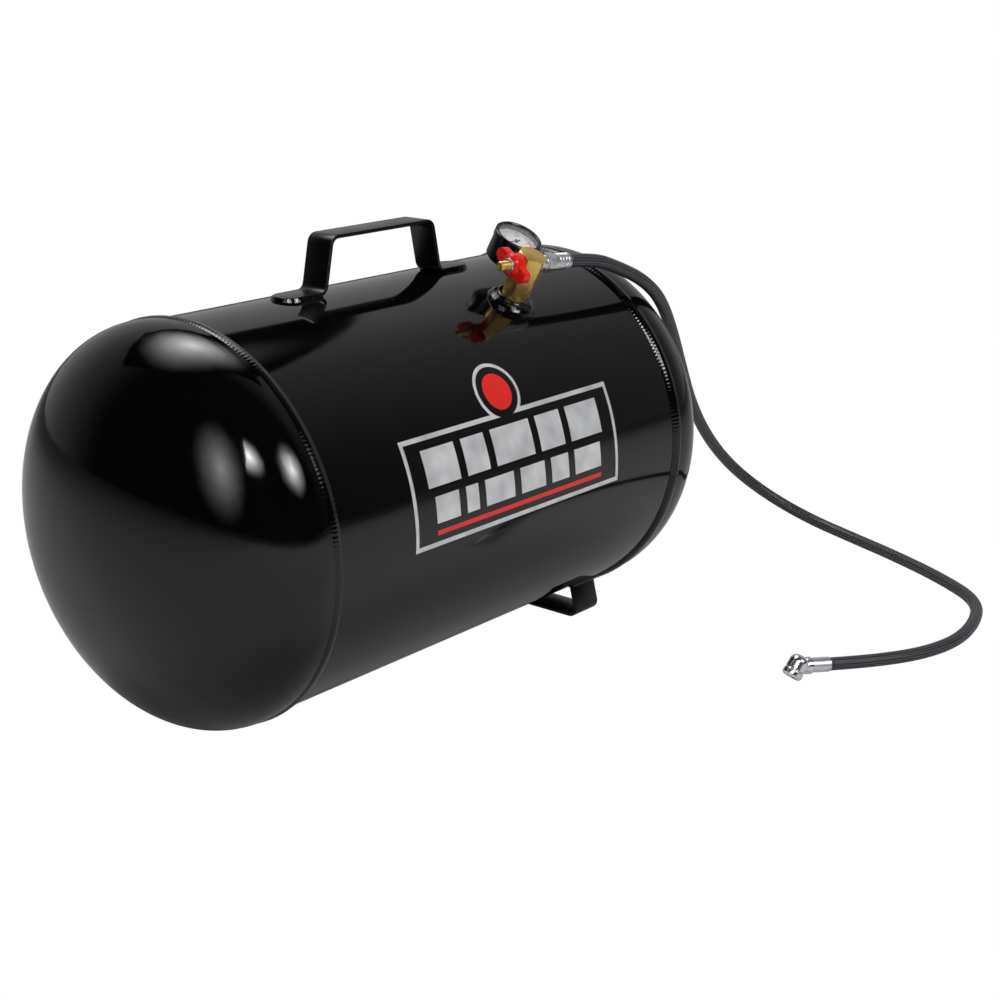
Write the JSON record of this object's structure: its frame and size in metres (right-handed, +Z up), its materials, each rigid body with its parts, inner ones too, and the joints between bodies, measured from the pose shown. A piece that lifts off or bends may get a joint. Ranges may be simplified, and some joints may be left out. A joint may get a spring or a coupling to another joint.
{
  "type": "portable air receiver tank",
  "caption": "Portable welded steel air receiver with a strap handle, valve block with shut-off knob, round gauge and a tyre hose with a angled chuck.",
  "frame": {"origin": "on the floor, under the middle of the tank (hose and chuck left out)", "axes": "+X along the tank towards the hose side, +Z up, -Y towards the valve block and label"},
  "size_m": [0.822, 0.531, 0.3605],
  "materials": {
    "black_enamel": "high-gloss black enamel on steel",
    "enamelled_weld": "gloss black enamel over rippled weld beads",
    "machined_brass": "bright machined brass",
    "movement_brass": "stamped brass",
    "bronze_tube": "drawn bronze tube",
    "spring_steel": "bright spring steel",
    "zinc_plated_steel": "bright zinc plate",
    "chrome_plated_zinc": "polished chrome plate",
    "nitrile_rubber": "black moulded rubber",
    "red_nylon": "glossy red moulded nylon",
    "black_case": "black lacquered steel case",
    "clear_lens": "clear moulded window",
    "white_dial": "matt white printed dial",
    "black_pointer": "matt black lacquer",
    "braided_rubber": "black rubber hose with a fine textile cover",
    "printed_film": "printed gloss film"
  },
  "bodies": {
    "tank": {"shell": "black_enamel", "head_near": "black_enamel", "head_far": "black_enamel", "seam_weld_near": "enamelled_weld", "seam_weld_far": "enamelled_weld", "handle": "black_enamel", "handle_welds": "enamelled_weld", "cross_foot": "black_enamel", "foot_welds": "enamelled_weld", "near_rest": "black_enamel", "near_rest_welds": "enamelled_weld", "bung": "black_enamel", "bung_weld": "enamelled_weld", "valve_block": "machined_brass", "bleed_pin": "spring_steel", "hose_fitting": "zinc_plated_steel", "hose_ferrule": "zinc_plated_steel", "hose": "braided_rubber", "gauge_case": "black_case", "gauge_bezel": "black_case", "gauge_lens": "clear_lens", "gauge_dial": "white_dial", "gauge_socket": "machined_brass", "bourdon_tube": "bronze_tube", "gauge_movement": "movement_brass", "chuck_ferrule": "zinc_plated_steel", "chuck_body": "chrome_plated_zinc", "chuck_collar": "chrome_plated_zinc", "chuck_seal": "nitrile_rubber", "chuck_spring": "spring_steel", "label": "printed_film"},
    "knob_set": {"seat_disc": "nitrile_rubber", "spindle": "machined_brass", "spindle_seal": "nitrile_rubber", "knob": "red_nylon", "knob_washer": "zinc_plated_steel", "core_barrel": "machined_brass", "core_spring": "spring_steel"},
    "stem_pin": {"core_pin": "machined_brass"},
    "sector": {"gauge_sector": "movement_brass"},
    "pointer_set": {"gauge_pinion": "movement_brass", "gauge_pointer": "black_pointer"},
    "pull_link": {"gauge_link": "movement_brass"},
    "tyre_pin": {"chuck_pin": "machined_brass"}
  },
  "joints": [
    {"name": "knob_turn", "type": "hinge", "parent": "tank", "child": "knob_set", "pos_m": [0.05943, -0.09054, 0.33112], "axis": [-0.9925, 0.1066, 0.0591], "range_deg": [0, 450]},
    {"name": "stem_pin_press", "type": "slide", "parent": "knob_set", "child": "stem_pin", "axis": [0.9925, -0.1066, -0.0591], "range_m": [0, 0.0012], "stiffness_N_per_m": 60, "deforming": ["core_spring"]},
    {"name": "sector_turn", "type": "hinge", "parent": "tank", "child": "sector", "pos_m": [0.0931, -0.05163, 0.33726], "axis": [0, -0.4848, 0.8746], "range_deg": [0, 35.53]},
    {"name": "pointer_turn", "type": "hinge", "parent": "tank", "child": "pointer_set", "pos_m": [0.10338, -0.05438, 0.33573], "axis": [0, -0.4848, 0.8746], "range_deg": [-270.1, 0]},
    {"name": "link_turn", "type": "hinge", "parent": "sector", "child": "pull_link", "pos_m": [0.08982, -0.04866, 0.33661], "axis": [0, -0.4848, 0.8746], "range_deg": [-35.6, 0]},
    {"name": "tyre_pin_press", "type": "slide", "parent": "tank", "child": "tyre_pin", "axis": [0.5897, -0.1699, 0.7896], "range_m": [0, 0.002], "stiffness_N_per_m": 150, "deforming": ["chuck_spring"]}
  ],
  "couplings": [
    {"joint": "pointer_turn", "follows": "sector_turn", "ratio": -7.6},
    {"joint": "link_turn", "follows": "sector_turn", "ratio": -1}
  ]
}
